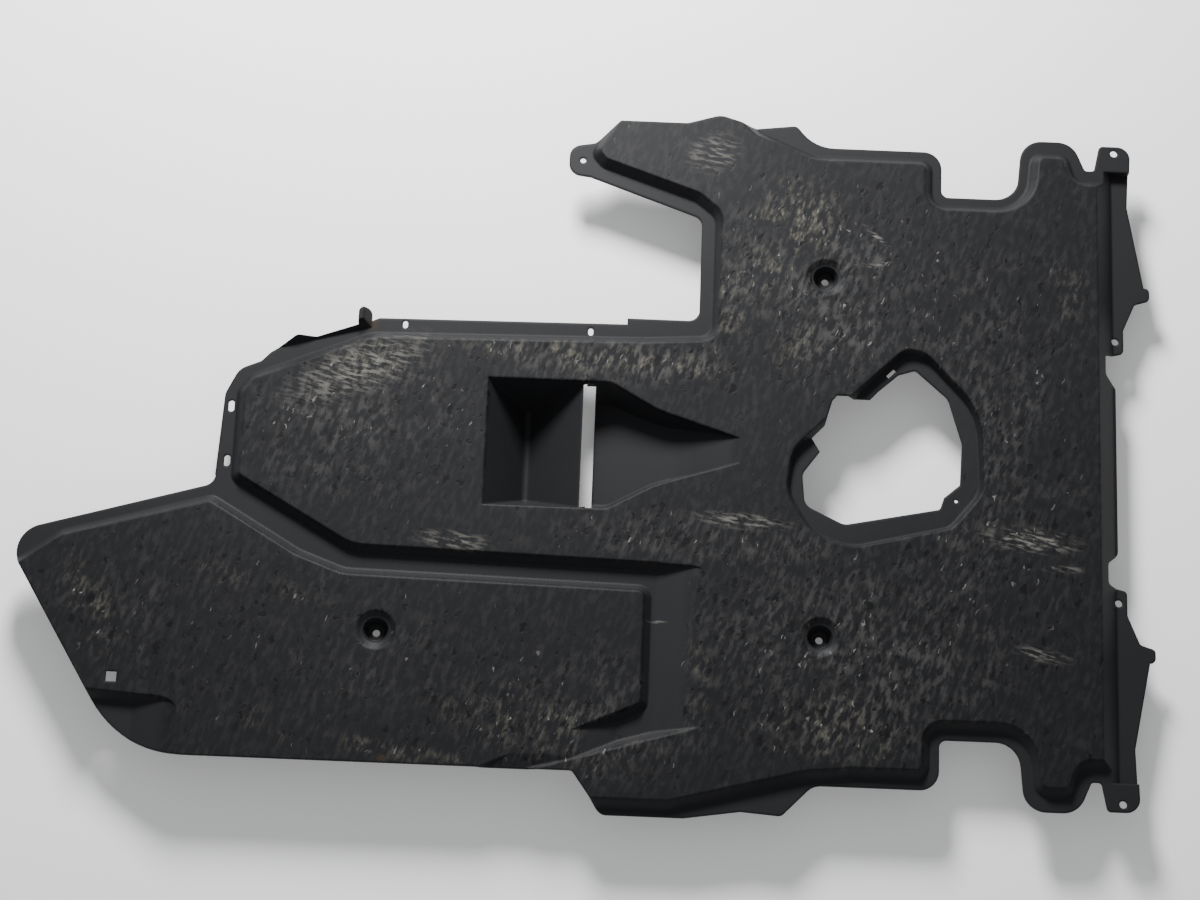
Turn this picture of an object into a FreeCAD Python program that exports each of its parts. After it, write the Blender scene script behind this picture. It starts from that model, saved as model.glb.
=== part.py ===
import FreeCAD, Part
import math
import os
import re
import Sketcher

# Engine splash shield: one moulded sheet with raised fields, recesses,
# a submerged air scoop and a service opening.
# The road face looks up (+Z), the front of the car is +X and the car's centre line is Y = 0.
# While it is drawn, X = 0 is the front edge and Z = 0 is the road face of the flange.

Vector = FreeCAD.Vector
doc = FreeCAD.newDocument("engine_splash_shield")
sheet = doc.addObject("Spreadsheet::Sheet", "Sizes")

sizes = {
    # sheet and its relief
    "wall": 3,
    "field_rise": 10,
    "wall_angle": 42,
    "flange_width": 10,
    "stock_margin": 60,
    "stock_depth": 80,
    # side edges of the front panel, measured from the centre line
    "side_edge": 355,
    "side_corner_round": 20,
    "front_reach": 300,
    # front edge: scallop, inner tab, hook
    "scallop_depth": 12,
    "scallop_width": 40,
    "scallop_round": 8,
    "inner_tab_place": 146,
    "inner_tab_width": 26,
    "inner_tab_reach": 9,
    "inner_tab_hole": 8,
    "tab_round": 5,
    "hook_place": 202,
    "hook_width": 14,
    "hook_reach": 38,
    "flap_reach": 22,
    "flap_lean": 10,
    # outer tab at each front corner
    "waist_place": 302,
    "waist_reach": 15,
    "outer_tab_reach": 18,
    "outer_tab_length": 34,
    "outer_tab_end": 370,
    "outer_tab_round": 14,
    "outer_tab_hole": 8,
    "outer_hole_place": 362,
    # lobe and notch in each side edge
    "gap_floor": 340,
    "gap_floor_width": 10,
    "gap_flare": 6,
    "gap_round": 4,
    "lobe_length": 55,
    "lobe_end": 373,
    "lobe_flare": 14,
    "lobe_round": 24,
    "notch_floor": 302,
    "notch_length": 82,
    "notch_round": 26,
    # arm beside the cut-out, with its end tab
    "side_step": 28,
    "side_step_rise": 25,
    "side_step_round": 45,
    "hump_place": 432,
    "hump_rise": 11,
    "hump_half_length": 36,
    "arm_end": 542,
    "arm_end_drop": 26,
    "arm_edge_drop": 6,
    "arm_tab_tip": 596,
    "arm_tab_place": 329,
    "arm_tab_width": 32,
    "arm_tab_round": 14,
    "arm_tab_hole": 6.5,
    "arm_tab_hole_inset": 15,
    "arm_tab_neck": 24,
    "arm_tab_neck_drop": 3,
    "cutout_front": 449,
    "cutout_top": 266,
    "cutout_round": 12,
    # tongue
    "tongue_top": 147,
    "tongue_top_rear": 136,
    "tongue_step": 3,
    "tongue_step_place": 526,
    "tongue_rear": 955,
    "tongue_shoulder": 72,
    "tongue_corner_round": 20,
    "shoulder_run": 17,
    "shoulder_foot_run": 4,
    "shoulder_foot_drop": 28,
    "tongue_heel_run": 60,
    "lip_front": 800,
    "lip_length": 78,
    "lip_drop": 25,
    "lip_start": 8,
    "lip_flat": 20,
    "lip_tail_run": 28,
    "lip_tail_drop": 19,
    "lip_foot_run": 37,
    "lip_foot_rise": 10,
    "lip_field_drop": 11,
    "lip_round": 10,
    "lug_width": 14,
    "lug_end": 145,
    "lug_round": 6,
    # wing
    "wing_root": 57,
    "wing_root_round": 14,
    "wing_root_run": 3,
    "wing_overlap": 37,
    "wing_nose": 1172,
    "wing_nose_place": 121,
    "wing_nose_round": 30,
    "wing_edge": 351,
    "wing_heel": 1029,
    "wing_heel_round": 120,
    "lobe_rear": 566,
    "lobe_rear_run": 31,
    "rear_lobe_drop": 43,
    "rear_lobe_round": 12,
    "rear_lobe_waist": 392,
    "rear_lobe_step": 350,
    "rear_lobe_flat": 58,
    "rear_lobe_waist_rise": 9,
    "rear_lobe_step_rise": 6,
    "rear_lobe_step_run": 32,
    # fields
    "field_lobe_inset": 5,
    "field_lobe_drop": 15,
    "corner_field_edge": 327,
    "arm_field_top": 400,
    "arm_field_rise": 371,
    "arm_field_rise_place": 388,
    "arm_field_top_front": 420,
    "arm_field_top_rear": 535,
    "arm_field_tip": 574,
    "arm_field_low": 285,
    "arm_field_tip_half_width": 8,
    "arm_field_tip_run": 14,
    "arm_field_turn_run": 8,
    "arm_field_turn_drop": 18,
    "arm_field_overlap": 60,
    "cutout_flange": 14,
    "tongue_flange": 17,
    "tongue_field_rear": 938,
    "tongue_field_corner_run": 13,
    "tongue_field_corner_drop": 6,
    "tongue_field_foot_drop": 24,
    "tongue_field_root_rise": 4,
    "tongue_field_bend": 8,
    "valley_edge": 136,
    "valley_turn": 435,
    "valley_width": 55,
    "valley_gap": 14,
    "valley_round": 16,
    "valley_lap": 20,
    "valley_foot_rise": 60,
    "valley_lean": 2,
    "rear_lobe_flange": 7,
    "rear_lobe_field_run": 64,
    "rear_lobe_field_flat": 74,
    "rear_lobe_field_step_run": 25,
    "rear_lobe_field_rise": 5,
    "wing_field_nose_run": 60,
    "wing_field_nose_rise": 6,
    "wing_field_root_drop": 13,
    "wing_field_bend_run": 60,
    "wing_field_bend_rise": 24,
    "wing_field_turn_run": 12,
    "wing_field_turn_rise": 6,
    "wing_field_foot_rise": 68,
    "wing_field_foot_run": 170,
    "wing_field_foot_drop": 9,
    "wing_field_beyond": 60,
    "wing_step_run": 90,
    "wing_step_corner_run": 44,
    "wing_step_rise": 51,
    "wing_step_end_run": 46,
    "wing_step_end_rise": 57,
    "wing_nose_beyond": 8,
    "wing_nose_foot_drop": 44,
    "field_round": 14,
    "field_overlap": 25,
    "field_lap": 90,
    # places where a low floor climbs gently to the height of the fields
    "gentle_angle": 78,
    "valley_ramp_foot": 485,
    "channel_ramp_foot": 522,
    "channel_ramp_rear": 720,
    "channel_ramp_top": 250,
    "channel_ramp_low": 383,
    "heel_ramp_foot": 1021,
    "heel_ramp_front": 800,
    "heel_ramp_top": 200,
    # front step
    "crease_place": 21,
    "front_drop": 20,
    "front_run": 19,
    "front_step_half_width": 340,
    # scoop
    "scoop_rear": 672,
    "scoop_valley": 629,
    "scoop_depth": 55,
    "scoop_half_width": 71,
    "scoop_end_draft": 22,
    "scoop_valley_round": 6,
    "slot_rear": 570,
    "slot_width": 13,
    "slot_end_margin": 2,
    "ramp_depth": 41,
    "ramp_knee": 465,
    "ramp_knee_depth": 22,
    "ramp_knee_round": 150,
    "ramp_front": 402,
    "ramp_shoulder": 541,
    "ramp_shoulder_round": 20,
    "ramp_waist": 490,
    "ramp_waist_half_width": 42,
    "ramp_waist_round": 100,
    "ramp_front_half_width": 13.5,
    "ramp_inset": 18,
    # service opening
    "ledge_depth": 10,
    "ledge_draft": 25,
    "ledge_round": 40,
    "ledge_crown_round": 20,
    "ledge_shoulder_round": 80,
    "ledge_foot_round": 60,
    # corners of the ledge, then of the opening with its torn edge
    "ledge_rear_x": -347,
    "ledge_rear_y": 5,
    "ledge_top_rear_x": -228,
    "ledge_top_rear_y": 123,
    "ledge_top_front_x": -205,
    "ledge_top_front_y": 118,
    "ledge_upper_front_x": -146,
    "ledge_upper_front_y": 55,
    "ledge_lower_front_x": -142,
    "ledge_lower_front_y": -35,
    "ledge_front_foot_x": -176,
    "ledge_front_foot_y": -77,
    "ledge_foot_x": -284,
    "ledge_foot_y": -104,
    "ledge_rear_foot_x": -326,
    "ledge_rear_foot_y": -88,
    "ledge_lower_rear_x": -354,
    "ledge_lower_rear_y": -42,
    "tear_top_x": -300,
    "tear_top_y": 66,
    "tear_top_end_x": -264,
    "tear_top_end_y": 66,
    "rim_upper_start_x": -256,
    "rim_upper_start_y": 75,
    "rim_upper_x": -234,
    "rim_upper_y": 95,
    "rim_top_x": -216,
    "rim_top_y": 101,
    "rim_upper_front_x": -181,
    "rim_upper_front_y": 70,
    "rim_front_x": -166,
    "rim_front_y": 20,
    "rim_lower_front_x": -168,
    "rim_lower_front_y": -26,
    "nick_front_x": -185,
    "nick_front_y": -41,
    "nick_foot_x": -189,
    "nick_foot_y": -54,
    "rim_foot_x": -290,
    "rim_foot_y": -75,
    "rim_rear_foot_x": -332,
    "rim_rear_foot_y": -55,
    "rim_lower_rear_x": -335,
    "rim_lower_rear_y": -20,
    "tear_foot_x": -317,
    "tear_foot_y": 5,
    "tear_tooth_x": -326,
    "tear_tooth_y": 20,
    "tear_gap_x": -312,
    "tear_gap_y": 35,
    "tear_rear_x": -305,
    "tear_rear_y": 60,
    # slot and hole in the ledge
    "rim_slot_x": -242,
    "rim_slot_y": 96,
    "rim_slot_length": 12,
    "rim_slot_width": 4,
    "rim_slot_turn": 45,
    "rim_hole": 4,
    "rim_hole_x": -172,
    "rim_hole_y": -44,
    # bolt recesses
    "recess_place": 314,
    "recess_side": 200,
    "wing_recess_place": 775,
    "wing_recess_side": 211,
    "recess_diameter": 30,
    "recess_floor": 18,
    "recess_depth": 16,
    "recess_mouth": 42,
    "recess_mouth_depth": 4,
    "recess_hole": 8,
    # fixing holes
    "flange_slot_width": 5.5,
    "flange_slot_length": 9,
    "flange_slot_inset": 6,
    "flange_slot_front": 565,
    "flange_slot_rear": 764,
    "rear_slot_width": 6.5,
    "rear_slot_length": 13,
    "rear_slot_inset": 11.5,
    "rear_slot_upper": 30,
    "rear_slot_lower": -31,
    "wing_hole": 11,
    "wing_hole_place": 1044,
    "wing_hole_side": 272,
}
for row, (alias, value) in enumerate(sizes.items(), start=1):
    sheet.set(f"A{row}", alias)
    sheet.set(f"B{row}", str(value))
    sheet.setAlias(f"B{row}", alias)
doc.recompute()


def bound(text):
    """An expression over the sheet's aliases, with the sheet's name put before each alias."""
    def named(word):
        alias = word.group()
        return f"Sizes.{alias}" if alias in sizes else alias

    return re.sub(r"[a-z][a-z_]+", named, text)


def number(text):
    value = sheet.evalExpression(bound(text))
    return float(getattr(value, "Value", value))


def link(obj, prop, text):
    obj.setExpression(prop, bound(text))


def rounded_corners(corners):
    """Corners, rounds, straight sides and arcs of an outline; a round of 0 leaves the corner sharp."""
    points = [Vector(number(across), number(up), 0) for across, up, _ in corners]
    rounds = [number(size) for _, _, size in corners]
    entering, leaving, arcs = [], [], []
    count = len(points)
    for i, point in enumerate(points):
        back = (points[i - 1] - point).normalize()
        ahead = (points[(i + 1) % count] - point).normalize()
        half_turn = back.getAngle(ahead) / 2
        reach = rounds[i] / math.tan(half_turn)
        entering.append(point + back * reach)
        leaving.append(point + ahead * reach)
        middle = point
        if rounds[i]:
            centre = point + (back + ahead).normalize() * (rounds[i] / math.sin(half_turn))
            middle = centre + (point - centre).normalize() * rounds[i]
        arcs.append(Part.Arc(entering[i], middle, leaving[i]) if rounds[i] else None)
    sides = [Part.LineSegment(leaving[i], entering[(i + 1) % count]) for i in range(count)]
    return points, rounds, sides, arcs


def outline(name, corners, height="0"):
    """A long closed plan outline through corners given as (along, across, round), each an expression."""
    _, _, sides, arcs = rounded_corners(corners)
    edges = []
    for side, arc in zip(sides, arcs):
        edges += [piece.toShape() for piece in (arc, side) if piece]
    plan = doc.addObject("Part::Feature", name)
    plan.Shape = Part.Wire(Part.__sortEdges__(edges))
    plan.Placement.Base.z = number(height)
    return plan


def section(name, corners, plane):
    """A closed sketch in an upright plane; each corner is (across, up, round), bound to the sheet."""
    sketch = doc.addObject("Sketcher::SketchObject", name)
    turns = {"XZ": FreeCAD.Rotation(Vector(1, 0, 0), 90), "YZ": FreeCAD.Rotation(Vector(1, 1, 1), 120)}
    sketch.Placement = FreeCAD.Placement(Vector(), turns[plane])
    points, rounds, sides, arcs = rounded_corners(corners)
    side_ids = sketch.addGeometry(sides, False)
    rules = []
    drivers = {}
    for i, point in enumerate(points):
        side_in, side_out = side_ids[i - 1], side_ids[i]
        if rounds[i]:
            arc = sketch.addGeometry(arcs[i], False)
            mark = sketch.addGeometry(Part.Point(point), True)
            start = sketch.Geometry[arc].StartPoint
            to_side_in = (start - sides[i - 1].EndPoint).Length
            first = 1 if to_side_in < (start - sides[i].StartPoint).Length else 2
            rules.append(Sketcher.Constraint("Tangent", side_in, 2, arc, first))
            rules.append(Sketcher.Constraint("Tangent", arc, 3 - first, side_out, 1))
            rules.append(Sketcher.Constraint("PointOnObject", mark, 1, side_in))
            rules.append(Sketcher.Constraint("PointOnObject", mark, 1, side_out))
            drivers[len(rules)] = corners[i][2]
            rules.append(Sketcher.Constraint("Radius", arc, rounds[i]))
            place = (mark, 1)
        else:
            rules.append(Sketcher.Constraint("Coincident", side_in, 2, side_out, 1))
            place = (side_out, 1)
        drivers[len(rules)] = corners[i][0]
        rules.append(Sketcher.Constraint("DistanceX", -1, 1, *place, point.x))
        drivers[len(rules)] = corners[i][1]
        rules.append(Sketcher.Constraint("DistanceY", -1, 1, *place, point.y))
    sketch.addConstraint(rules)
    for index, text in drivers.items():
        link(sketch, f"Constraints[{index}]", text)
    sketch.recompute()
    return sketch


def grown(source, amount):
    """The same outline moved outward all round; a negative amount moves it inward."""
    moved = doc.addObject("Part::Offset2D", source.Name + "_grown")
    moved.Source = source
    moved.Join = 2
    link(moved, "Value", amount)
    moved.recompute()
    return moved


def prism(name, base, length, direction=Vector(0, 0, 1), back="0", draft="0"):
    solid = doc.addObject("Part::Extrusion", name)
    solid.Base = base
    solid.DirMode = "Custom"
    solid.Dir = direction
    solid.Solid = True
    link(solid, "LengthFwd", length)
    link(solid, "LengthRev", back)
    link(solid, "TaperAngle", draft)
    solid.recompute()
    return solid


def joined(name, pieces):
    whole = doc.addObject("Part::MultiFuse", name)
    whole.Shapes = pieces
    whole.Refine = True
    whole.recompute()
    return whole


def cut(name, base, tool):
    rest = doc.addObject("Part::Cut", name)
    rest.Base = base
    rest.Tool = tool
    rest.Refine = True
    rest.recompute()
    return rest


def shared(name, first, second):
    both = doc.addObject("Part::Common", name)
    both.Base = first
    both.Tool = second
    both.recompute()
    return both


def mirrored(source):
    """The copy of a solid on the other side of the centre line."""
    other = doc.addObject("Part::Mirroring", source.Name + "_other_side")
    other.Source = source
    other.Normal = Vector(0, 1, 0)
    other.recompute()
    return other


# Trimmed outline of the sheet
scallop_near = "inner_tab_place - inner_tab_width / 2 - scallop_width"
tab_near = "inner_tab_place - inner_tab_width / 2"
tab_far = "inner_tab_place + inner_tab_width / 2"
hook_near = "hook_place - hook_width / 2"
hook_far = "hook_place + hook_width / 2"
outer_tab_rear = "outer_tab_reach - outer_tab_length"
gap_front = f"{outer_tab_rear} - gap_flare"
gap_rear = f"{gap_front} - gap_floor_width"
lobe_front = f"{gap_rear} - lobe_flare"
lobe_back = f"{lobe_front} - lobe_length"
notch_front = f"{lobe_back} - gap_flare"
notch_rear = f"{notch_front} - notch_length"

front_trim = outline("front_trim", [
    ("0", "0", "0"),
    ("0", scallop_near, "scallop_round"),
    ("-scallop_depth", f"{scallop_near} + scallop_round * 1.5", "scallop_round"),
    ("-scallop_depth", f"{tab_near} - tab_round", "tab_round"),
    ("inner_tab_reach", tab_near, "tab_round"),
    ("inner_tab_reach", tab_far, "tab_round"),
    ("flap_reach", f"{hook_near} - tab_round", "tab_round"),
    ("hook_reach", hook_near, "tab_round"),
    ("hook_reach", hook_far, "tab_round"),
    ("flap_reach + flap_lean", hook_far, "0"),
    ("waist_reach", "waist_place", "scallop_round"),
    ("outer_tab_reach", "outer_tab_end", "outer_tab_round"),
    (outer_tab_rear, "outer_tab_end", "tab_round"),
    (gap_front, "gap_floor", "gap_round"),
    (gap_rear, "gap_floor", "gap_round"),
    (lobe_front, "lobe_end", "lobe_round"),
    (lobe_back, "lobe_end", "lobe_round"),
    (notch_front, "notch_floor", "notch_round"),
    (notch_rear, "notch_floor", "scallop_round"),
    (notch_rear, "side_edge", "side_corner_round"),
    ("-front_reach", "side_edge", "0"),
    ("-front_reach", "0", "0"),
])

side_step_place = "-front_reach - side_step"
arm_edge = "side_edge + side_step_rise - arm_edge_drop"
arm_trim = outline("arm_trim", [
    ("-front_reach", "tongue_top - valley_width", "0"),
    ("-front_reach", "side_edge", "0"),
    (side_step_place, "side_edge", "side_step_round"),
    (f"{side_step_place} - side_step_rise * 0.8", "side_edge + side_step_rise", "scallop_round"),
    ("-hump_place + hump_half_length", arm_edge, "side_corner_round"),
    ("-hump_place", f"{arm_edge} + hump_rise", "side_corner_round"),
    ("-hump_place - hump_half_length", arm_edge, "side_corner_round"),
    ("-arm_end", arm_edge, "tab_round"),
    ("-arm_end - arm_end_drop", "arm_tab_place + arm_tab_width / 2 + tab_round", "scallop_round"),
    ("-arm_tab_tip", "arm_tab_place + arm_tab_width / 2", "arm_tab_round"),
    ("-arm_tab_tip", "arm_tab_place - arm_tab_width / 2", "arm_tab_round"),
    ("-arm_tab_tip + arm_tab_neck", "arm_tab_place - arm_tab_width / 2 - arm_tab_neck_drop", "0"),
    ("-cutout_front", "cutout_top", "cutout_round"),
    ("-cutout_front", "tongue_top", "cutout_round"),
    ("-tongue_step_place", "tongue_top", "0"),
    ("-tongue_step_place", "tongue_top - valley_width", "0"),
])

lip_rear = "-lip_front - lip_length"
tongue_trim = outline("tongue_trim", [
    ("-front_reach + field_overlap", "-valley_edge + valley_lap", "0"),
    ("-front_reach + field_overlap", "tongue_top - tongue_step", "0"),
    ("-lip_front + lip_start", "tongue_top_rear", "0"),
    ("-lip_front - lug_width", "tongue_top_rear - lip_round", "tab_round"),
    (f"{lip_rear} + lip_flat", "tongue_top_rear - lip_drop", "lip_round"),
    (lip_rear, "tongue_top_rear - lip_drop", "lip_round"),
    (f"{lip_rear} - lip_tail_run", "tongue_top_rear - lip_drop - lip_tail_drop", "0"),
    (f"{lip_rear} - lip_foot_run", "tongue_shoulder + lip_foot_rise", "lip_round"),
    ("-tongue_rear + shoulder_run", "tongue_shoulder", "tongue_corner_round"),
    ("-tongue_rear + shoulder_foot_run", "tongue_shoulder - shoulder_foot_drop", "tongue_corner_round"),
    ("-tongue_rear", "-wing_root + lip_foot_rise", "0"),
    ("-tongue_rear + tongue_heel_run", "-valley_edge + valley_lap", "0"),
])

wing_trim = outline("wing_trim", [
    ("-tongue_rear + wing_root_run", "-wing_root + wing_overlap", "0"),
    ("-tongue_rear", "-wing_root", "wing_root_round"),
    ("-wing_nose", "-wing_nose_place", "wing_nose_round"),
    ("-wing_heel", "-wing_edge", "wing_heel_round"),
    ("-lobe_rear", "-wing_edge", "tab_round"),
    ("-lobe_rear + lobe_rear_run", "-wing_edge - rear_lobe_drop", "rear_lobe_round"),
    ("-rear_lobe_waist - rear_lobe_flat", "-wing_edge - rear_lobe_drop", "side_corner_round"),
    ("-rear_lobe_waist", "-wing_edge - rear_lobe_drop + rear_lobe_waist_rise", "side_corner_round"),
    ("-rear_lobe_step", "-wing_edge - rear_lobe_drop + rear_lobe_step_rise", "scallop_round"),
    ("-rear_lobe_step + rear_lobe_step_run", "-side_edge", "side_corner_round"),
    ("-front_reach + field_overlap", "-side_edge", "0"),
    ("-front_reach + field_overlap", "-wing_root + wing_overlap", "0"),
])

lug_plan = outline("lug_plan", [
    ("-lip_front", "tongue_top_rear - lip_drop", "0"),
    ("-lip_front", "lug_end", "lug_round"),
    ("-lip_front - lug_width", "lug_end", "lug_round"),
    ("-lip_front - lug_width", "tongue_top_rear - lip_drop", "0"),
])

trim_up, trim_down = "stock_depth", "stock_depth + stock_margin"
front_half = prism("front_half", front_trim, trim_up, back=trim_down)
trim = joined("trim", [
    front_half,
    mirrored(front_half),
    prism("arm_outline", arm_trim, trim_up, back=trim_down),
    prism("tongue_outline", tongue_trim, trim_up, back=trim_down),
    prism("wing_outline", wing_trim, trim_up, back=trim_down),
    prism("lug_outline", lug_plan, trim_up, back=trim_down),
])

# Raised fields, drawn at the foot of their walls
field_lobe_front = f"{lobe_front} - field_lobe_inset"
field_lobe_rear = f"{lobe_back} + flange_width"
front_field = outline("front_field", [
    ("hook_reach", "-field_overlap", "0"),
    ("hook_reach", "corner_field_edge", "0"),
    (f"{gap_rear} - flange_width", "corner_field_edge", "field_round"),
    (field_lobe_front, "lobe_end - field_lobe_drop", "field_round"),
    (field_lobe_rear, "lobe_end - field_lobe_drop", "field_round"),
    (f"{notch_front} + flange_width", "notch_floor - flange_width", "notch_round + flange_width"),
    (f"{notch_rear} - flange_width", "notch_floor - flange_width", "field_round"),
    (f"{notch_rear} - flange_width", "side_edge - flange_width", "field_round"),
    ("-front_reach - field_overlap", "side_edge - flange_width", "0"),
    ("-front_reach - field_overlap", "-field_overlap", "0"),
])

tongue_edge_fall = "(tongue_top - tongue_top_rear) / (lip_front - front_reach + field_overlap)"
arm_overlap_along = "cutout_front + arm_field_overlap - front_reach + field_overlap"
arm_overlap_edge = f"tongue_top - tongue_flange - ({tongue_edge_fall}) * ({arm_overlap_along})"
arm_field = outline("arm_field", [
    ("-front_reach + field_overlap", "tongue_top - field_lap", "0"),
    ("-front_reach + field_overlap", "side_edge - flange_width", "0"),
    (side_step_place, "side_edge - flange_width", "field_round"),
    ("-arm_field_rise_place", "arm_field_rise", "field_round"),
    ("-arm_field_top_front", "arm_field_top", "0"),
    ("-arm_field_top_rear", "arm_field_top", "0"),
    ("-arm_field_tip", "arm_tab_place + arm_field_tip_half_width", "field_round"),
    ("-arm_field_tip + arm_field_tip_run", "arm_tab_place - arm_field_tip_half_width", "field_round"),
    ("-cutout_front - arm_field_turn_run", "arm_field_low", "field_round"),
    ("-cutout_front + cutout_flange", "arm_field_low - arm_field_turn_drop", "field_round"),
    ("-cutout_front + cutout_flange", "tongue_top - tongue_flange", "field_round"),
    ("-cutout_front - arm_field_overlap", arm_overlap_edge, "0"),
    ("-cutout_front - arm_field_overlap", "tongue_top - field_lap", "0"),
])

tongue_field = outline("tongue_field", [
    ("-front_reach + field_overlap", "-valley_edge + valley_lap", "0"),
    ("-front_reach + field_overlap", "tongue_top - tongue_flange", "0"),
    ("-lip_front", "tongue_top_rear - tongue_flange", "tongue_corner_round * 2"),
    (
        "-tongue_field_rear + tongue_field_corner_run",
        "tongue_shoulder - tongue_field_corner_drop",
        "tongue_corner_round",
    ),
    ("-tongue_field_rear", "tongue_shoulder - tongue_field_foot_drop", "field_round"),
    ("-tongue_field_rear", "-wing_root + tongue_field_root_rise", "field_round"),
    ("-lip_front - tongue_field_bend", "-valley_edge + tongue_field_bend", "tongue_corner_round * 3"),
    ("-valley_turn - valley_lap", "-valley_edge", "0"),
    ("-valley_turn - valley_lap", "-valley_edge + valley_lap", "0"),
])

lobe_field = outline("lobe_field", [
    ("-front_reach + field_overlap", "-valley_edge + field_lap", "0"),
    ("-valley_turn - valley_width", "-valley_edge + field_lap", "0"),
    ("-valley_turn - valley_width", "-valley_edge", "0"),
    ("-valley_turn", "-valley_edge - valley_lean", "valley_round"),
    ("-valley_turn", "-wing_edge + valley_foot_rise", "valley_round"),
    ("-lobe_rear - rear_lobe_field_run", "-wing_edge + valley_lean", "0"),
    ("-lobe_rear - rear_lobe_field_run", "-wing_edge - rear_lobe_drop + rear_lobe_flange", "0"),
    (
        "-rear_lobe_waist - rear_lobe_field_flat",
        "-wing_edge - rear_lobe_drop + rear_lobe_flange",
        "side_corner_round",
    ),
    (
        "-rear_lobe_step + rear_lobe_field_step_run",
        "-side_edge + rear_lobe_field_rise",
        "side_corner_round",
    ),
    ("-front_reach + field_overlap", "-side_edge + flange_width", "0"),
])

wing_field_front = "-valley_turn - valley_width"
wing_field = outline("wing_field", [
    ("-wing_nose + wing_field_nose_run", "-wing_nose_place + wing_field_nose_rise", "field_round"),
    ("-tongue_rear", "-wing_root - wing_field_root_drop", "wing_root_round"),
    (
        "-lip_front - wing_field_bend_run",
        "-valley_edge - valley_gap + wing_field_bend_rise",
        "tongue_corner_round * 2",
    ),
    (
        "-lip_front - wing_field_turn_run",
        "-valley_edge - valley_gap + wing_field_turn_rise",
        "tongue_corner_round * 2",
    ),
    (wing_field_front, "-valley_edge - valley_gap", "field_round"),
    (wing_field_front, "-wing_edge + wing_field_foot_rise", "field_round"),
    (f"{wing_field_front} - wing_field_foot_run", "-wing_edge - wing_field_foot_drop", "0"),
    (f"{wing_field_front} - wing_field_foot_run", "-wing_edge - wing_field_beyond", "0"),
    ("-wing_heel + wing_step_run", "-wing_edge - wing_field_beyond", "0"),
    ("-wing_heel + wing_step_corner_run", "-wing_edge + wing_step_rise", "field_round"),
    ("-wing_heel - wing_step_end_run", "-wing_edge + wing_step_end_rise", "0"),
    ("-wing_nose - wing_nose_beyond", "-wing_nose_place - wing_nose_foot_drop", "0"),
])

lip_field = outline("lip_field", [
    ("-lip_front", "tongue_top_rear - lip_field_drop", "0"),
    ("-lip_front", "tongue_top_rear + lip_flat", "0"),
    (f"{lip_rear} - lip_flat", "tongue_top_rear + lip_flat", "0"),
    (f"{lip_rear} - lip_flat * 2", "tongue_shoulder + lip_flat", "0"),
])

# Gentle climbs out of the valley's front end, the channel beside the wing and the wing's heel
below_wing = "-wing_edge - wing_field_beyond"
valley_climb = outline("valley_climb", [
    ("-valley_ramp_foot", "-valley_edge + field_lap", "0"),
    ("-front_reach + field_overlap", "-valley_edge + field_lap", "0"),
    ("-front_reach + field_overlap", "-wing_edge", "0"),
    ("-valley_ramp_foot", "-wing_edge", "0"),
])
channel_climb = outline("channel_climb", [
    ("-channel_ramp_rear", "-channel_ramp_top", "0"),
    ("-channel_ramp_foot", "-channel_ramp_top", "0"),
    ("-channel_ramp_foot", "-channel_ramp_low", "0"),
    ("-channel_ramp_rear", "-channel_ramp_low", "0"),
])
heel_climb = outline("heel_climb", [
    ("-heel_ramp_foot", "-heel_ramp_top", "0"),
    ("-heel_ramp_front", "-heel_ramp_top", "0"),
    ("-heel_ramp_front", below_wing, "0"),
    ("-heel_ramp_foot", below_wing, "0"),
])

# The sheet is what lies between its road face and its engine face
def stock(name, top, margin):
    block = doc.addObject("Part::Box", name)
    link(block, "Length", f"wing_nose + hook_reach + 2 * ({margin})")
    link(block, "Width", f"2 * (wing_edge + rear_lobe_drop + {margin})")
    link(block, "Height", f"stock_depth + {margin}")
    link(block, "Placement.Base.x", f"-wing_nose - ({margin})")
    link(block, "Placement.Base.y", f"-wing_edge - rear_lobe_drop - ({margin})")
    link(block, "Placement.Base.z", f"{top} - stock_depth - ({margin})")
    block.recompute()
    return block


steep_plans = [front_field, arm_field, tongue_field, lobe_field, wing_field, lip_field]
gentle_plans = [valley_climb, channel_climb, heel_climb]
field_plans = [(plan, "wall_angle") for plan in steep_plans]
field_plans += [(plan, "gentle_angle") for plan in gentle_plans]


def raised_fields(side, offset):
    """Every raised field of one face; the engine face lies lower by the wall, its outlines drawn in."""
    solids = [stock(f"{side}_stock", f"-({offset})", f"stock_margin + ({offset})")]
    for plan, angle in field_plans:
        foot = plan if offset == "0" else grown(plan, f"-wall * tan((90 - {angle}) / 2)")
        field = prism(f"{side}_{plan.Name}", foot, "field_rise", draft=f"-{angle}")
        link(field, "Placement.Base.z", f"-({offset})")
        field.recompute()
        solids.append(field)
        if plan is front_field:
            solids.append(mirrored(field))
    return joined(f"{side}_fields", solids)


road_fields = raised_fields("road", "0")
engine_fields = raised_fields("engine", "wall")

# Front step, drawn as a side view
front_step = section("front_step", [
    ("-crease_place - front_run", "field_rise + front_drop", "0"),
    ("-crease_place + front_run", "field_rise - front_drop", "0"),
    ("hook_reach + stock_margin * 2", "field_rise - front_drop", "0"),
    ("hook_reach + stock_margin * 2", "field_rise + front_drop", "0"),
], plane="XZ")

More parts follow.
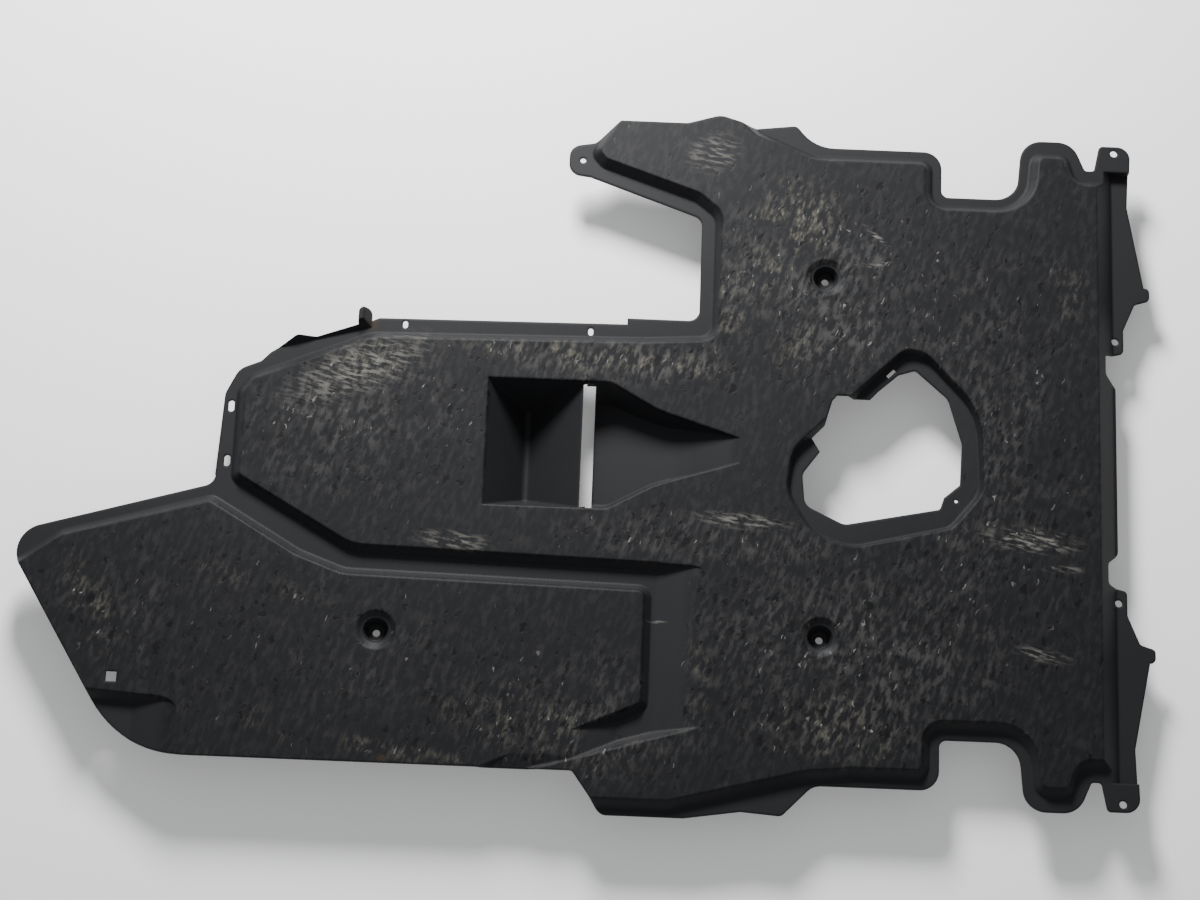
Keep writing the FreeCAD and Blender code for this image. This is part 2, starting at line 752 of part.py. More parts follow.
# Scoop: a cross trough with drafted ends, then a ramp that narrows towards the front
slot_middle = "-slot_rear + slot_width / 2"
trough_side = section("trough_side", [
    ("-2 * scoop_rear + scoop_valley", "field_rise + scoop_depth", "0"),
    ("-scoop_valley", "field_rise - scoop_depth", "scoop_valley_round"),
    (f"2 * ({slot_middle}) + scoop_valley", "field_rise + scoop_depth", "0"),
], plane="XZ")
trough_end_run = "scoop_depth * tan(scoop_end_draft)"
trough_end = section("trough_end", [
    (f"-scoop_half_width - {trough_end_run}", "field_rise + scoop_depth", "0"),
    (f"-scoop_half_width + {trough_end_run} * 1.4", "field_rise - scoop_depth * 1.4", "0"),
    (f"scoop_half_width - {trough_end_run} * 1.4", "field_rise - scoop_depth * 1.4", "0"),
    (f"scoop_half_width + {trough_end_run}", "field_rise + scoop_depth", "0"),
], plane="YZ")
ramp_side = section("ramp_side", [
    (slot_middle, "field_rise + ramp_knee_depth", "0"),
    (slot_middle, "field_rise - ramp_depth", "0"),
    ("-ramp_knee", "field_rise - ramp_knee_depth", "ramp_knee_round"),
    ("-2 * ramp_front + ramp_knee", "field_rise + ramp_knee_depth", "0"),
], plane="XZ")


def ramp_plan(name, inset, height):
    """Plan of the ramp at one height; the walls lean in by the inset below the mouth."""
    half = [
        (f"{slot_middle} - slot_width", f"scoop_half_width - {inset}", "0"),
        ("-ramp_shoulder", f"scoop_half_width - {inset}", "ramp_shoulder_round"),
        ("-ramp_waist", f"ramp_waist_half_width - {inset}", "ramp_waist_round"),
        ("-ramp_front", f"ramp_front_half_width - ({inset}) / 2", "0"),
    ]
    other = [(along, f"-({across})", size) for along, across, size in reversed(half)]
    return outline(name, half + other, height=height)


ramp_mouth = ramp_plan("ramp_mouth", "0", "field_rise")
ramp_bed = ramp_plan("ramp_bed", "ramp_inset", "field_rise - ramp_depth - wall * 2")

# Ledge of the service opening
ledge_plan = outline("ledge_plan", [
    ("ledge_rear_x", "ledge_rear_y", "ledge_round"),
    ("ledge_top_rear_x", "ledge_top_rear_y", "ledge_crown_round"),
    ("ledge_top_front_x", "ledge_top_front_y", "ledge_crown_round * 1.5"),
    ("ledge_upper_front_x", "ledge_upper_front_y", "ledge_shoulder_round"),
    ("ledge_lower_front_x", "ledge_lower_front_y", "ledge_round"),
    ("ledge_front_foot_x", "ledge_front_foot_y", "ledge_crown_round"),
    ("ledge_foot_x", "ledge_foot_y", "ledge_foot_round"),
    ("ledge_rear_foot_x", "ledge_rear_foot_y", "ledge_round"),
    ("ledge_lower_rear_x", "ledge_lower_rear_y", "ledge_round"),
], height="field_rise")


def bolt_recess(name, place, side, offset):
    recess = doc.addObject("Part::Cone", name)
    link(recess, "Radius1", f"recess_floor / 2 + ({offset})")
    link(recess, "Radius2", f"recess_diameter / 2 + ({offset})")
    link(recess, "Height", "recess_depth")
    link(recess, "Placement.Base.x", f"-{place}")
    link(recess, "Placement.Base.y", side)
    link(recess, "Placement.Base.z", f"field_rise - recess_depth - ({offset})")
    recess.recompute()
    mouth = doc.addObject("Part::Cone", f"{name}_mouth")
    link(mouth, "Radius1", f"recess_diameter / 2 + ({offset})")
    link(mouth, "Radius2", f"recess_mouth / 2 + ({offset})")
    link(mouth, "Height", "recess_mouth_depth")
    link(mouth, "Placement.Base.x", f"-{place}")
    link(mouth, "Placement.Base.y", side)
    link(mouth, "Placement.Base.z", f"field_rise - recess_mouth_depth - ({offset})")
    mouth.recompute()
    return [recess, mouth]


recess_places = {
    "left_recess": ("recess_place", "recess_side"),
    "right_recess": ("recess_place", "-recess_side"),
    "wing_recess": ("wing_recess_place", "-wing_recess_side"),
}


def recesses(side, offset):
    """Everything pressed down into one face: front step, scoop, ledge and bolt recesses."""
    across = "2 * (wing_edge + rear_lobe_drop + stock_margin)"
    along = "wing_nose"

    def facing(plan, amount):
        return plan if offset == "0" else grown(plan, amount)

    step_end = f"front_step_half_width + ({offset})"
    step = prism(f"{side}_front_step", facing(front_step, offset), step_end, Vector(0, 1, 0), back=step_end)
    trough = shared(
        f"{side}_trough",
        prism(f"{side}_trough_side", facing(trough_side, offset), across, Vector(0, 1, 0), back=across),
        prism(f"{side}_trough_end", facing(trough_end, offset), along, Vector(1, 0, 0), back=along),
    )
    wedge = doc.addObject("Part::Loft", f"{side}_ramp_walls")
    lean = f"({offset}) / cos(scoop_end_draft)"
    wedge.Sections = [facing(ramp_mouth, lean), facing(ramp_bed, lean)]
    wedge.Solid = True
    wedge.Ruled = True
    wedge.recompute()
    ramp_cut = prism(f"{side}_ramp_side", facing(ramp_side, offset), across, Vector(0, 1, 0), back=across)
    ramp = shared(f"{side}_ramp", wedge, ramp_cut)
    ledge_lean = "wall * tan((90 - ledge_draft) / 2)"
    ledge = prism(
        f"{side}_ledge", facing(ledge_plan, ledge_lean), "ledge_depth", Vector(0, 0, -1), draft="-ledge_draft"
    )
    link(ledge, "Placement.Base.z", f"-({offset})")
    ledge.recompute()
    wells = []
    for name, place in recess_places.items():
        wells += bolt_recess(f"{side}_{name}", *place, offset)
    return joined(f"{side}_recesses", [step, trough, ramp, ledge] + wells)


road_face = cut("road_face", road_fields, recesses("road", "0"))
engine_face = cut("engine_face", engine_fields, recesses("engine", "wall"))
formed = cut("formed_sheet", road_face, engine_face)
trimmed = shared("trimmed_sheet", formed, trim)

# Openings through the sheet
through_up, through_down = "stock_depth", "stock_depth + stock_margin"
opening_plan = outline("opening_plan", [
    ("tear_top_x", "tear_top_y", "0"),
    ("tear_top_end_x", "tear_top_end_y", "0"),
    ("rim_upper_start_x", "rim_upper_start_y", "0"),
    ("rim_upper_x", "rim_upper_y", "0"),
    ("rim_top_x", "rim_top_y", "tab_round"),
    ("rim_upper_front_x", "rim_upper_front_y", "field_round"),
    ("rim_front_x", "rim_front_y", "tongue_corner_round"),
    ("rim_lower_front_x", "rim_lower_front_y", "0"),
    ("nick_front_x", "nick_front_y", "0"),
    ("nick_foot_x", "nick_foot_y", "tab_round"),
    ("rim_foot_x", "rim_foot_y", "field_round"),
    ("rim_rear_foot_x", "rim_rear_foot_y", "field_round"),
    ("rim_lower_rear_x", "rim_lower_rear_y", "field_round"),
    ("tear_foot_x", "tear_foot_y", "0"),
    ("tear_tooth_x", "tear_tooth_y", "0"),
    ("tear_gap_x", "tear_gap_y", "0"),
    ("tear_rear_x", "tear_rear_y", "0"),
])
opening = prism("opening", opening_plan, through_up, back=through_down)

slot = doc.addObject("Part::Box", "scoop_slot")
link(slot, "Length", "slot_width")
link(slot, "Width", "2 * (scoop_half_width - slot_end_margin)")
link(slot, "Height", "2 * stock_depth")
link(slot, "Placement.Base.x", "-slot_rear")
link(slot, "Placement.Base.y", "-scoop_half_width + slot_end_margin")
link(slot, "Placement.Base.z", "-stock_depth")
slot.recompute()


def round_hole(name, along, across, diameter):
    hole = doc.addObject("Part::Cylinder", name)
    link(hole, "Radius", f"({diameter}) / 2")
    link(hole, "Height", "2 * stock_depth")
    link(hole, "Placement.Base.x", along)
    link(hole, "Placement.Base.y", across)
    link(hole, "Placement.Base.z", "-stock_depth")
    hole.recompute()
    return hole


def slot_hole(name, along, across, width, length):
    """A slot with round ends, long across the car."""
    reach = f"({length} - {width}) / 2"
    ends = [round_hole(f"{name}_end_{sign}", along, f"{across} {sign} {reach}", width) for sign in "+-"]
    for end, word in zip(ends, ("far", "near")):
        end.Label = f"{name}_{word}_end"
    middle = doc.addObject("Part::Box", f"{name}_middle")
    link(middle, "Length", width)
    link(middle, "Width", f"{length} - {width}")
    link(middle, "Height", "2 * stock_depth")
    link(middle, "Placement.Base.x", f"{along} - {width} / 2")
    link(middle, "Placement.Base.y", f"{across} - {reach}")
    link(middle, "Placement.Base.z", "-stock_depth")
    middle.recompute()
    return ends + [middle]


holes = []
for side, sign in (("left", ""), ("right", "-")):
    holes.append(round_hole(f"{side}_outer_tab_hole", "0", f"{sign}outer_hole_place", "outer_tab_hole"))
    holes.append(round_hole(f"{side}_inner_tab_hole", "0", f"{sign}inner_tab_place", "inner_tab_hole"))
for name, (place, side) in recess_places.items():
    holes.append(round_hole(f"{name}_hole", f"-{place}", side, "recess_hole"))
arm_hole_along = "-arm_tab_tip + arm_tab_hole_inset"
holes.append(round_hole("arm_tab_hole_cut", arm_hole_along, "arm_tab_place", "arm_tab_hole"))
for name in ("front", "rear"):
    across = "tongue_top_rear - flange_slot_inset"
    holes += slot_hole(
        f"flange_slot_{name}_cut", f"-flange_slot_{name}", across, "flange_slot_width", "flange_slot_length"
    )
for name in ("upper", "lower"):
    along = "-tongue_rear + rear_slot_inset"
    holes += slot_hole(
        f"rear_slot_{name}_cut", along, f"rear_slot_{name}", "rear_slot_width", "rear_slot_length"
    )
square = doc.addObject("Part::Box", "wing_square_hole")
link(square, "Length", "wing_hole")
link(square, "Width", "wing_hole")
link(square, "Height", "2 * stock_depth")
link(square, "Placement.Base.x", "-wing_hole_place - wing_hole / 2")
link(square, "Placement.Base.y", "-wing_hole_side - wing_hole / 2")
link(square, "Placement.Base.z", "-stock_depth")
square.recompute()

rim_slot = doc.addObject("Part::Box", "rim_slot_cut")
link(rim_slot, "Length", "rim_slot_length")
link(rim_slot, "Width", "rim_slot_width")
link(rim_slot, "Height", "2 * stock_depth")
link(rim_slot, "Placement.Rotation.Angle", "rim_slot_turn")
half_along = "rim_slot_length / 2"
half_across = "rim_slot_width / 2"
turn_cos, turn_sin = "cos(rim_slot_turn)", "sin(rim_slot_turn)"
link(rim_slot, "Placement.Base.x", f"rim_slot_x - {half_along} * {turn_cos} + {half_across} * {turn_sin}")
link(rim_slot, "Placement.Base.y", f"rim_slot_y - {half_along} * {turn_sin} - {half_across} * {turn_cos}")
link(rim_slot, "Placement.Base.z", "-stock_depth")
rim_slot.recompute()
holes.append(round_hole("rim_hole_cut", "rim_hole_x", "rim_hole_y", "rim_hole"))

shield = cut("splash_shield", trimmed, joined("openings", [opening, slot, square, rim_slot] + holes))
shield.Label = "splash_shield"

# The finished sheet stands with its lowest point at Z = 0 and its plan centred on the origin
box = shield.Shape.optimalBoundingBox()
shield.Placement.Base = Vector(-box.Center.x, -box.Center.y, -box.ZMin)

failed = [item.Name for item in doc.Objects if {"Invalid", "Error"} & set(item.State)]
if failed:
    raise RuntimeError("not built: " + ", ".join(failed))
if shield.Shape.isNull() or not shield.Shape.isValid():
    raise RuntimeError("splash_shield has no valid shape")
if len(shield.Shape.Solids) != 1:
    raise RuntimeError(f"splash_shield has {len(shield.Shape.Solids)} solids")

os.makedirs("parts", exist_ok=True)
shield.Shape.exportStep(f"parts/{shield.Label}.step")
print("splash_shield volume", round(shield.Shape.Volume), "mm3, moved by", shield.Placement.Base)
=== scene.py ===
import math

import bpy
from mathutils import Matrix, Vector

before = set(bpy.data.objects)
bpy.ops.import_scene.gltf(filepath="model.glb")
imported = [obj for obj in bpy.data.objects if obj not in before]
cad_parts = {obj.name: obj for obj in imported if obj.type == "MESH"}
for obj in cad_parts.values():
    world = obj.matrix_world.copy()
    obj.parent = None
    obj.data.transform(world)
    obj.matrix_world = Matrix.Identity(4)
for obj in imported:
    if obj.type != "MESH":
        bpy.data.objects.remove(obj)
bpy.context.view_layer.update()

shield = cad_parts["splash_shield"]


# node helpers

def addNode(tree, kind, **settings):
    node = tree.nodes.new(kind)
    for name, value in settings.items():
        setattr(node, name, value)
    return node


def feed(tree, socket, value):
    # a socket is linked, anything else is set as the constant
    if isinstance(value, bpy.types.NodeSocket):
        tree.links.new(value, socket)
    else:
        socket.default_value = value


def calc(tree, operation, first, second):
    node = addNode(tree, "ShaderNodeMath", operation=operation)
    feed(tree, node.inputs[0], first)
    feed(tree, node.inputs[1], second)
    return node.outputs[0]


def times(tree, first, second):
    return calc(tree, "MULTIPLY", first, second)


def ramp(tree, value, low, high, toLow=0.0, toHigh=1.0):
    node = addNode(tree, "ShaderNodeMapRange", interpolation_type="SMOOTHSTEP")
    feed(tree, node.inputs["Value"], value)
    feed(tree, node.inputs["From Min"], low)
    feed(tree, node.inputs["From Max"], high)
    feed(tree, node.inputs["To Min"], toLow)
    feed(tree, node.inputs["To Max"], toHigh)
    return node.outputs["Result"]


def turned(tree, place, degrees, scale):
    # turned in plan, then stretched
    turn = addNode(tree, "ShaderNodeVectorRotate", rotation_type="Z_AXIS")
    feed(tree, turn.inputs["Vector"], place)
    feed(tree, turn.inputs["Angle"], math.radians(degrees))
    stretch = addNode(tree, "ShaderNodeVectorMath", operation="MULTIPLY")
    feed(tree, stretch.inputs[0], turn.outputs[0])
    feed(tree, stretch.inputs[1], scale)
    return stretch.outputs[0]


def noise(tree, place, scale, detail, roughness=0.55):
    node = addNode(tree, "ShaderNodeTexNoise")
    feed(tree, node.inputs["Vector"], place)
    feed(tree, node.inputs["Scale"], scale)
    feed(tree, node.inputs["Detail"], detail)
    feed(tree, node.inputs["Roughness"], roughness)
    return node.outputs["Fac"]


def streaks(tree, place, degrees, pattern):
    # noise drawn out in one direction
    along, across, detail = pattern
    return noise(tree, turned(tree, place, degrees, (along, across, 1.0)), 1.0, detail, roughness=0.6)


def ruffled(tree, place, scale, amount):
    # the place pushed about a little, for ragged edges
    wander = addNode(tree, "ShaderNodeTexNoise")
    feed(tree, wander.inputs["Vector"], place)
    feed(tree, wander.inputs["Scale"], scale)
    feed(tree, wander.inputs["Detail"], 2.0)
    push = addNode(tree, "ShaderNodeVectorMath", operation="MULTIPLY_ADD")
    feed(tree, push.inputs[0], wander.outputs["Color"])
    feed(tree, push.inputs[1], (amount, amount, 0.0))
    feed(tree, push.inputs[2], place)
    return push.outputs[0]


def blended(tree, amount, first, second):
    node = addNode(tree, "ShaderNodeMix", data_type="RGBA")
    feed(tree, node.inputs["Factor"], amount)
    feed(tree, node.inputs["A"], first)
    feed(tree, node.inputs["B"], second)
    return node.outputs["Result"]


# worn plastic

wornPlastic = {
    "clean": (0.0088, 0.0091, 0.0104, 1),
    "sheltered": (0.0150, 0.0153, 0.0168, 1),     # flanges and the scoop, away from the stones
    "worn": (0.0520, 0.0512, 0.0505, 1),
    "chip": (0.0028, 0.0028, 0.0032, 1),
    # painted glint: colour of bright water glints painted onto the surface as highlight
    "paintedGlint": (0.19, 0.187, 0.178, 1),
    "dust": (0.112, 0.104, 0.080, 1),
    "scrape": (0.150, 0.145, 0.130, 1),
    "rust": (0.034, 0.021, 0.013, 1),
    "fieldHeight": 0.0545,          # road face of the raised fields
    "flangeHeight": 0.0505,
    "lean": -72,                    # stone marks all lean the same way
    "scrapeLean": 12,
    "roughness": 0.48,
    "wornRoughness": 0.73,
    "sheen": 0.15,
    "edgeRound": 0.0032,
    "edgeSamples": 4,
}

# how much of each kind of wear there is, and how many painted glints
wearAndGlintAmounts = {
    "sheltered": 0.12,              # share that is left off the fields
    "patchy": 0.35,                 # least share between the broad patches
    "anywhere": 0.18,
    "blotchy": 0.25,                # least share between the blotches
    "looseDust": 0.12,
    "dustGrain": 0.3,
    "chips": (0.08, 0.34),          # share of the cells, smooth and rough areas
    "chipsFull": 0.5,               # roughness of the area from which chips are at their most
    # painted glints: share of the cells, smooth and rough areas
    "paintedGlints": (0.015, 0.075),
    # more painted glints where there is dust
    "paintedGlintsOnDust": 0.10,
}

# even noise as scale and detail, and drawn out noise as scale along, across and detail
evenNoise = {"patches": (8.0, 4.0), "broken": (34.0, 4.0), "sag": (5.0, 1.0)}
streakNoise = {
    "blotches": (26.0, 44.0, 3.0),
    "mottle": (70.0, 165.0, 3.0),
    "grain": (190.0, 420.0, 2.0),
    "scrapes": (60.0, 260.0, 3.0),
}

# where each pattern starts and is full
fades = {
    "patches": (0.36, 0.62),
    "broken": (0.34, 0.60),
    "blotches": (0.32, 0.66),
    "mottle": (0.40, 0.64),
    "dust": (0.44, 0.70),
    "dustGrain": (0.32, 0.62),
    "scrapes": (0.46, 0.64),
    "rust": (0.30, 0.60),
}

# chips and painted glints as cells per metre along and across, and reach in a cell
speckSizes = {
    "bigChips": (40.0, 84.0, 0.33),
    "smallChips": (85.0, 170.0, 0.36),
    # painted glints: thin bright strokes of painted highlight
    "paintedGlints": (95.0, 360.0, 0.30),
}
speckShape = {"pickFade": 0.05, "leastReach": 0.35, "core": 0.3, "faintest": 0.35}
raggedEdge = {"scale": 130.0, "amount": 0.011}

reliefDepth = {
    "sagStrength": 0.5,
    "sag": 0.006,
    "chipStrength": 0.16,
    "chip": 0.0012,
    "wornRise": 0.5,                # worn streaks against chips
}

# patches as x, y, half length, half width (m), turn (degrees), strength
roughAreas = [
    (0.270, 0.190, 0.190, 0.130, 0, 1.0),
    (0.010, 0.100, 0.190, 0.030, -3, 1.0),
    (0.420, 0.000, 0.130, 0.330, 0, 0.55),
    (0.280, -0.220, 0.200, 0.130, 0, 0.75),
    (-0.230, 0.020, 0.170, 0.110, 0, 0.65),
    (-0.330, -0.220, 0.260, 0.120, -8, 0.45),
    (-0.030, -0.280, 0.200, 0.080, -10, 0.65),
    (0.120, -0.095, 0.220, 0.035, -3, 0.6),
]
dustPatches = [
    (0.215, 0.270, 0.048, 0.055, 40, 1.0),
    (0.180, 0.205, 0.070, 0.045, 20, 0.6),
    (0.145, 0.150, 0.022, 0.016, 0, 0.9),
    (0.010, 0.103, 0.155, 0.017, -4, 1.0),
    (0.230, 0.130, 0.060, 0.025, 30, 0.55),
    (-0.245, 0.085, 0.080, 0.024, 28, 0.85),
    (-0.515, -0.190, 0.024, 0.060, 25, 0.75),
    (-0.350, -0.160, 0.090, 0.014, -14, 0.40),
    (-0.045, -0.300, 0.120, 0.040, -12, 0.60),
    (0.265, -0.290, 0.080, 0.042, 0, 0.75),
    (0.115, -0.245, 0.020, 0.060, 0, 0.45),
    (-0.180, -0.335, 0.085, 0.012, -8, 0.60),
    (-0.322, -0.312, 0.035, 0.016, -25, 0.45),
    (0.505, 0.190, 0.030, 0.060, 0, 0.40),
]
scrapes = [
    (0.463, -0.082, 0.050, 0.013, -4, 0.95),
    (0.500, -0.112, 0.022, 0.004, 0, 0.6),
    (0.160, -0.073, 0.050, 0.009, -3, 0.75),
    (-0.140, -0.107, 0.042, 0.011, -4, 0.65),
    (-0.250, 0.080, 0.080, 0.030, 24, 0.75),
    (0.475, -0.205, 0.030, 0.008, -10, 0.70),
    (0.300, 0.253, 0.020, 0.003, -42, 0.8),
    (0.292, 0.221, 0.024, 0.003, 8, 0.7),
    (0.076, -0.184, 0.011, 0.0018, 0, 0.8),
    (0.120, 0.345, 0.030, 0.022, 20, 0.55),
]
rustSpots = [
    (-0.240, 0.135, 0.008, 0.010, 0, 0.8),
    (-0.202, -0.341, 0.008, 0.005, 0, 0.8),
]
patchFade = (1.35, 0.2)             # a patch starts and is full, in half lengths


def patchMask(tree, place, patches):
    total = None
    for x, y, halfLength, halfWidth, turn, strength in patches:
        shift = addNode(tree, "ShaderNodeVectorMath", operation="SUBTRACT")
        feed(tree, shift.inputs[0], place)
        feed(tree, shift.inputs[1], (x, y, 0.0))
        oval = turned(tree, shift.outputs[0], -turn, (1 / halfLength, 1 / halfWidth, 0.0))
        reach = addNode(tree, "ShaderNodeVectorMath", operation="LENGTH")
        feed(tree, reach.inputs[0], oval)
        patch = ramp(tree, reach.outputs["Value"], *patchFade, 0.0, strength)
        total = patch if total is None else calc(tree, "MAXIMUM", total, patch)
    return total


def specks(tree, place, speckSize, share):
    # irregular short strokes: one per cell, only in a share of the cells
    along, across, size = speckSize
    cells = addNode(tree, "ShaderNodeTexVoronoi", voronoi_dimensions="2D")
    feed(tree, cells.inputs["Vector"], turned(tree, place, wornPlastic["lean"], (along, across, 1.0)))
    feed(tree, cells.inputs["Scale"], 1.0)
    split = addNode(tree, "ShaderNodeSeparateColor")
    feed(tree, split.inputs[0], cells.outputs["Color"])
    least = calc(tree, "SUBTRACT", 1.0, share)
    picked = ramp(tree, split.outputs[0], least, calc(tree, "ADD", least, speckShape["pickFade"]))
    reach = times(tree, calc(tree, "ADD", split.outputs[1], speckShape["leastReach"]), size)
    dot = ramp(tree, calc(tree, "DIVIDE", cells.outputs["Distance"], reach), 1.0, speckShape["core"])
    faintest = speckShape["faintest"]
    strength = calc(tree, "ADD", times(tree, split.outputs[2], 1 - faintest), faintest)
    return times(tree, times(tree, picked, dot), strength)


def wearMask(tree, place, exposed, roughened):
    patches = ramp(tree, noise(tree, place, *evenNoise["patches"]), *fades["patches"])
    patchy = ramp(tree, patches, 0.0, 1.0, wearAndGlintAmounts["patchy"], 1.0)
    wear = times(tree, exposed, times(tree, patchy, roughened))
    return calc(tree, "MAXIMUM", wear, times(tree, exposed, wearAndGlintAmounts["anywhere"]))


def dustMask(tree, place, wear):
    # in patches, and a little on all that is worn
    broken = ramp(tree, noise(tree, place, *evenNoise["broken"]), *fades["broken"])
    dusty = times(tree, patchMask(tree, place, dustPatches), broken)
    return calc(tree, "MAXIMUM", dusty, times(tree, wear, wearAndGlintAmounts["looseDust"]))


def chipMask(tree, ragged, exposed, roughened):
    amount = ramp(tree, roughened, 0.0, wearAndGlintAmounts["chipsFull"], *wearAndGlintAmounts["chips"])
    share = times(tree, exposed, amount)
    bigChips = specks(tree, ragged, speckSizes["bigChips"], share)
    smallChips = specks(tree, ragged, speckSizes["smallChips"], share)
    return calc(tree, "MAXIMUM", bigChips, smallChips)


# painted glints: bright strokes painted into the colour in place of water glints, more on rough and
# dusty areas
def paintedGlintMask(tree, ragged, exposed, roughened, dusty):
    share = times(tree, exposed, ramp(tree, roughened, 0.0, 1.0, *wearAndGlintAmounts["paintedGlints"]))
    share = calc(tree, "ADD", share, times(tree, dusty, wearAndGlintAmounts["paintedGlintsOnDust"]))
    return specks(tree, ragged, speckSizes["paintedGlints"], share)


def relief(tree, place, wornStreaks, chips):
    # soft edges, then a sheet that is not quite flat, then the chips
    soft = addNode(tree, "ShaderNodeBevel", samples=wornPlastic["edgeSamples"])
    feed(tree, soft.inputs["Radius"], wornPlastic["edgeRound"])
    sag = addNode(tree, "ShaderNodeBump")
    feed(tree, sag.inputs["Strength"], reliefDepth["sagStrength"])
    feed(tree, sag.inputs["Distance"], reliefDepth["sag"])
    feed(tree, sag.inputs["Height"], noise(tree, place, *evenNoise["sag"]))
    feed(tree, sag.inputs["Normal"], soft.outputs[0])
    chipped = addNode(tree, "ShaderNodeBump")
    feed(tree, chipped.inputs["Strength"], reliefDepth["chipStrength"])
    feed(tree, chipped.inputs["Distance"], reliefDepth["chip"])
    raised = times(tree, wornStreaks, reliefDepth["wornRise"])
    feed(tree, chipped.inputs["Height"], calc(tree, "SUBTRACT", raised, chips))
    feed(tree, chipped.inputs["Normal"], sag.outputs[0])
    return chipped.outputs[0]


def makeWornPlastic():
    material = bpy.data.materials.new("wornPlastic")
    material.use_nodes = True
    tree = material.node_tree
    shader = tree.nodes["Principled BSDF"]
    place = addNode(tree, "ShaderNodeTexCoord").outputs["Object"]
    split = addNode(tree, "ShaderNodeSeparateXYZ")
    feed(tree, split.inputs[0], place)
    onField = ramp(tree, split.outputs["Z"], wornPlastic["flangeHeight"], wornPlastic["fieldHeight"])
    exposed = ramp(tree, onField, 0.0, 1.0, wearAndGlintAmounts["sheltered"], 1.0)
    roughened = patchMask(tree, place, roughAreas)
    lean = wornPlastic["lean"]
    mottle = streaks(tree, place, lean, streakNoise["mottle"])
    grain = streaks(tree, place, lean, streakNoise["grain"])
    color = blended(tree, onField, wornPlastic["sheltered"], wornPlastic["clean"])

    wear = wearMask(tree, place, exposed, roughened)
    blotches = streaks(tree, place, lean, streakNoise["blotches"])
    blotches = ramp(tree, blotches, *fades["blotches"], wearAndGlintAmounts["blotchy"], 1.0)
    wornStreaks = times(tree, times(tree, wear, blotches), ramp(tree, mottle, *fades["mottle"]))
    color = blended(tree, wornStreaks, color, wornPlastic["worn"])

    dusty = dustMask(tree, place, wear)
    dustGrain = ramp(tree, grain, *fades["dustGrain"], wearAndGlintAmounts["dustGrain"], 1.0)
    dustStreaks = times(tree, times(tree, ramp(tree, mottle, *fades["dust"]), dustGrain), exposed)
    color = blended(tree, times(tree, dusty, dustStreaks), color, wornPlastic["dust"])

    ragged = ruffled(tree, place, **raggedEdge)
    chips = chipMask(tree, ragged, exposed, roughened)
    color = blended(tree, chips, color, wornPlastic["chip"])

    scrapeGrain = streaks(tree, place, wornPlastic["scrapeLean"], streakNoise["scrapes"])
    scraped = times(tree, patchMask(tree, place, scrapes), ramp(tree, scrapeGrain, *fades["scrapes"]))
    color = blended(tree, scraped, color, wornPlastic["scrape"])

    rusty = times(tree, patchMask(tree, place, rustSpots), ramp(tree, grain, *fades["rust"]))
    color = blended(tree, rusty, color, wornPlastic["rust"])

    # painted highlight: glint strokes painted over the colour
    paintedGlints = paintedGlintMask(tree, ragged, exposed, roughened, dusty)
    color = blended(tree, paintedGlints, color, wornPlastic["paintedGlint"])

    rough = ramp(tree, wornStreaks, 0.0, 1.0, wornPlastic["roughness"], wornPlastic["wornRoughness"])
    feed(tree, shader.inputs["Base Color"], color)
    feed(tree, shader.inputs["Roughness"], rough)
    feed(tree, shader.inputs["Specular IOR Level"], wornPlastic["sheen"])
    feed(tree, shader.inputs["Normal"], relief(tree, place, wornStreaks, chips))
    return material


shield.data.materials.clear()
shield.data.materials.append(makeWornPlastic())
print("plastic done")


# floor

floorLook = {"size": 9.0, "color": (0.95, 0.95, 0.945, 1), "roughness": 0.8, "glow": 0.18}


def makeFloor():
    bpy.ops.mesh.primitive_plane_add(size=floorLook["size"], location=(0, 0, 0))
    floor = bpy.context.object
    floor.name = "floor"
    material = bpy.data.materials.new("paleFloor")
    material.use_nodes = True
    shader = material.node_tree.nodes["Principled BSDF"]
    shader.inputs["Base Color"].default_value = floorLook["color"]
    shader.inputs["Roughness"].default_value = floorLook["roughness"]
    shader.inputs["Emission Color"].default_value = floorLook["color"]
    shader.inputs["Emission Strength"].default_value = floorLook["glow"]
    floor.data.materials.append(material)
    return floor


floor = makeFloor()
print("floor done")


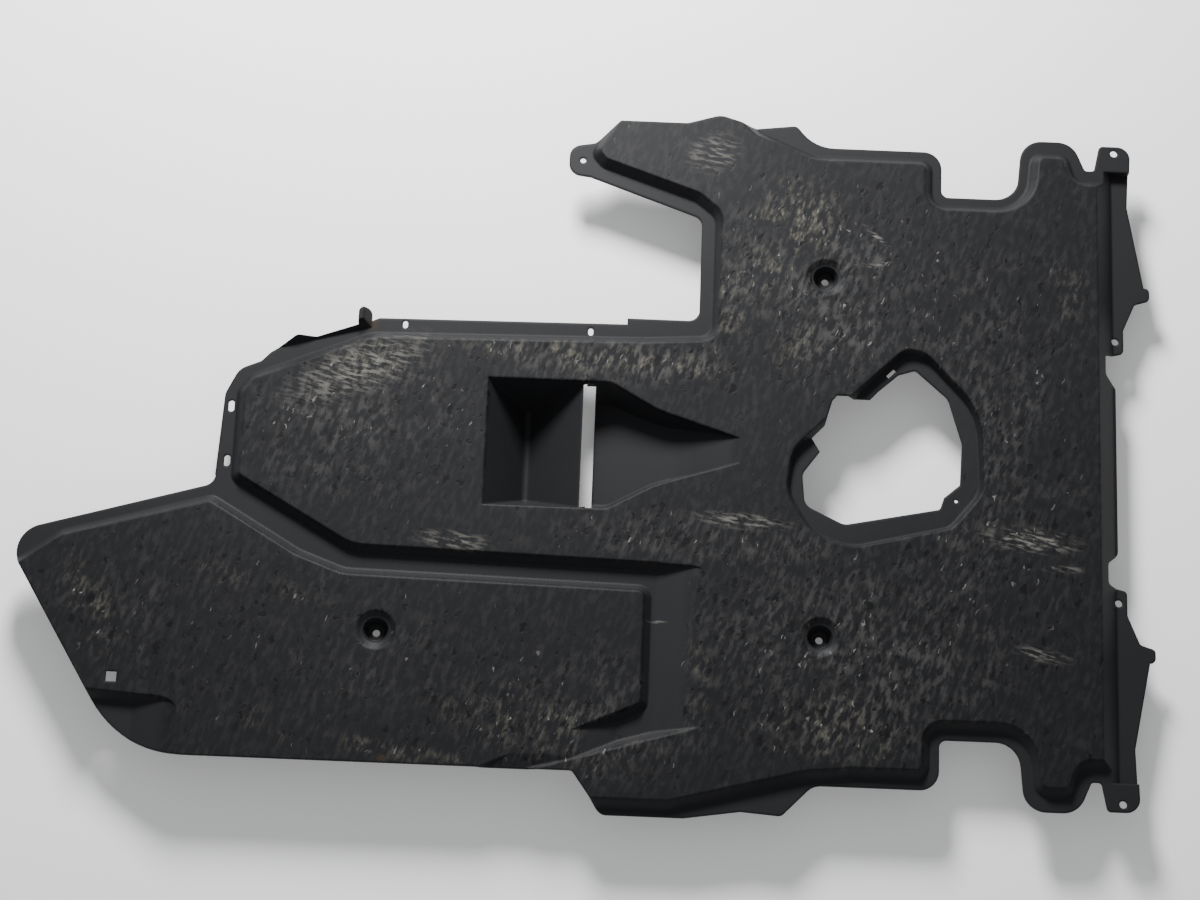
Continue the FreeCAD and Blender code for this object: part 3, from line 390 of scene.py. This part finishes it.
# a lamp low over the far edge lights the walls that face it, the rest is soft

lights = {
    "key": {"place": (-0.28, 1.55, 1.15), "aim": (-0.1, 0.1, 0), "size": 0.6, "power": 98},
    "fill": {"place": (0.0, -2.6, 2.0), "aim": (0, -0.8, 0), "size": 2.0, "power": 6},
}
softRoom = {"color": (0.95, 0.97, 1.0, 1), "strength": 0.35}

for name, light in lights.items():
    data = bpy.data.lights.new(name, "AREA")
    data.shape = "DISK"
    data.size = light["size"]
    data.energy = light["power"]
    lamp = bpy.data.objects.new(name, data)
    bpy.context.scene.collection.objects.link(lamp)
    lamp.location = light["place"]
    pointing = Vector(light["aim"]) - Vector(light["place"])
    lamp.rotation_euler = pointing.to_track_quat("-Z", "Y").to_euler()

world = bpy.data.worlds.new("softRoom")
world.use_nodes = True
background = world.node_tree.nodes["Background"]
background.inputs["Color"].default_value = softRoom["color"]
background.inputs["Strength"].default_value = softRoom["strength"]
bpy.context.scene.world = world
print("light done")


# camera

cameraSet = {
    "aim": (0.00886, 0.00200, 0.04541),
    "distance": 3.25,
    "lean": 18.0,       # degrees off straight down
    "roll": 2.3,
    "lens": 91.98,
    "sensor": 36,
    "farthest": 50,
}

lean = math.radians(cameraSet["lean"])
roll = math.radians(cameraSet["roll"])
back = Vector((0, -math.sin(lean), math.cos(lean)))
flatUp = Vector((0, math.cos(lean), math.sin(lean)))
flatRight = Vector((1, 0, 0))
right = math.cos(roll) * flatRight + math.sin(roll) * flatUp
up = -math.sin(roll) * flatRight + math.cos(roll) * flatUp
cameraData = bpy.data.cameras.new("camera")
cameraData.sensor_width = cameraSet["sensor"]
cameraData.lens = cameraSet["lens"]
cameraData.clip_end = cameraSet["farthest"]
camera = bpy.data.objects.new("camera", cameraData)
bpy.context.scene.collection.objects.link(camera)
turnMatrix = Matrix((right, up, back)).transposed().to_4x4()
standPoint = Vector(cameraSet["aim"]) + back * cameraSet["distance"]
camera.matrix_world = Matrix.Translation(standPoint) @ turnMatrix
bpy.context.scene.camera = camera
print("camera done")
